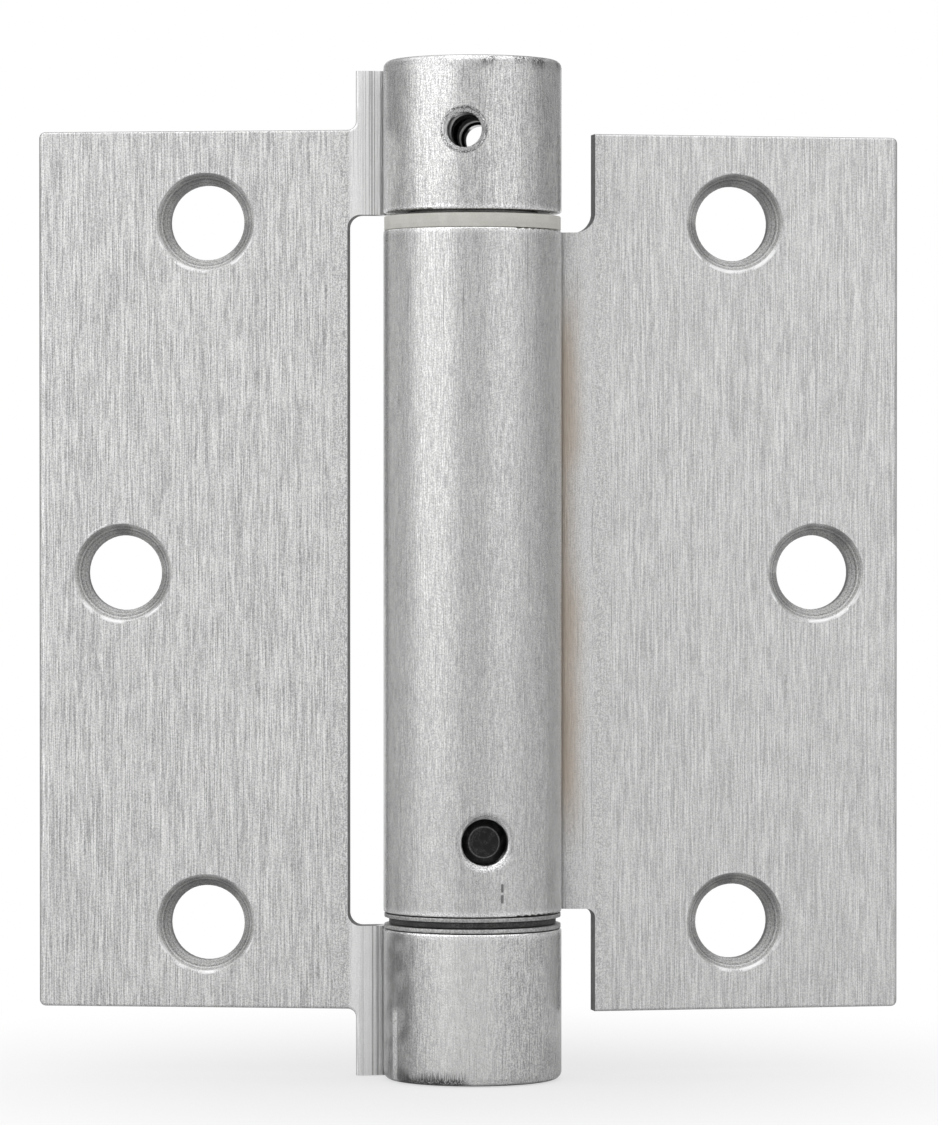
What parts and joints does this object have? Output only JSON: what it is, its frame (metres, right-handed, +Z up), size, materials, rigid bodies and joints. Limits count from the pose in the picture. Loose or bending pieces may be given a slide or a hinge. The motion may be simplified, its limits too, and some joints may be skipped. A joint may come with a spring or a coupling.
{
  "type": "spring loaded door hinge",
  "caption": "Square-cornered self-closing door hinge: two brushed steel leaves with countersunk holes, rolled on a fat barrel that hides a torsion spring and its tension adjuster.",
  "frame": {"origin": "on the pin axis, at mid height of the leaves", "axes": "+Z up along the pin axis, -Y to the front, where the screw heads are, frame leaf at -X and door leaf at +X; stored as pictured, with each leaf folded 8.5 degrees back from the X axis"},
  "size_m": [0.1002, 0.0213, 0.117],
  "materials": {
    "leaf_steel": "satin, brushed along the pin",
    "plug_steel": "turned, lightly oiled",
    "washer_steel": "punched, dull",
    "spring_steel": "drawn wire, oiled",
    "pin_black": "blackened, satin",
    "bush_nylon": "natural nylon",
    "slip_black": "filled black polymer"
  },
  "bodies": {
    "frame": {"frame_leaf": "leaf_steel", "bottom_plug": "plug_steel", "lower_thrust_washer": "washer_steel", "slip_ring": "slip_black"},
    "door": {"door_leaf": "leaf_steel", "upper_bush": "bush_nylon", "anchor_plug": "plug_steel", "anchor_pin": "pin_black", "upper_thrust_washer": "washer_steel", "torsion_spring": "spring_steel"},
    "adjuster": {"tension_adjuster": "plug_steel"}
  },
  "joints": [
    {"name": "leaf_swing", "type": "hinge", "parent": "frame", "child": "door", "pos_m": [0, 0, 0], "axis": [0, 0, 1], "range_deg": [-197, 73]},
    {"name": "adjuster_wind", "type": "hinge", "parent": "door", "child": "adjuster", "pos_m": [0, 0, 0], "axis": [0, 0, 1], "range_deg": [-270, 0], "stiffness_Nm_per_rad": 0.43, "deforming": ["torsion_spring"]}
  ]
}
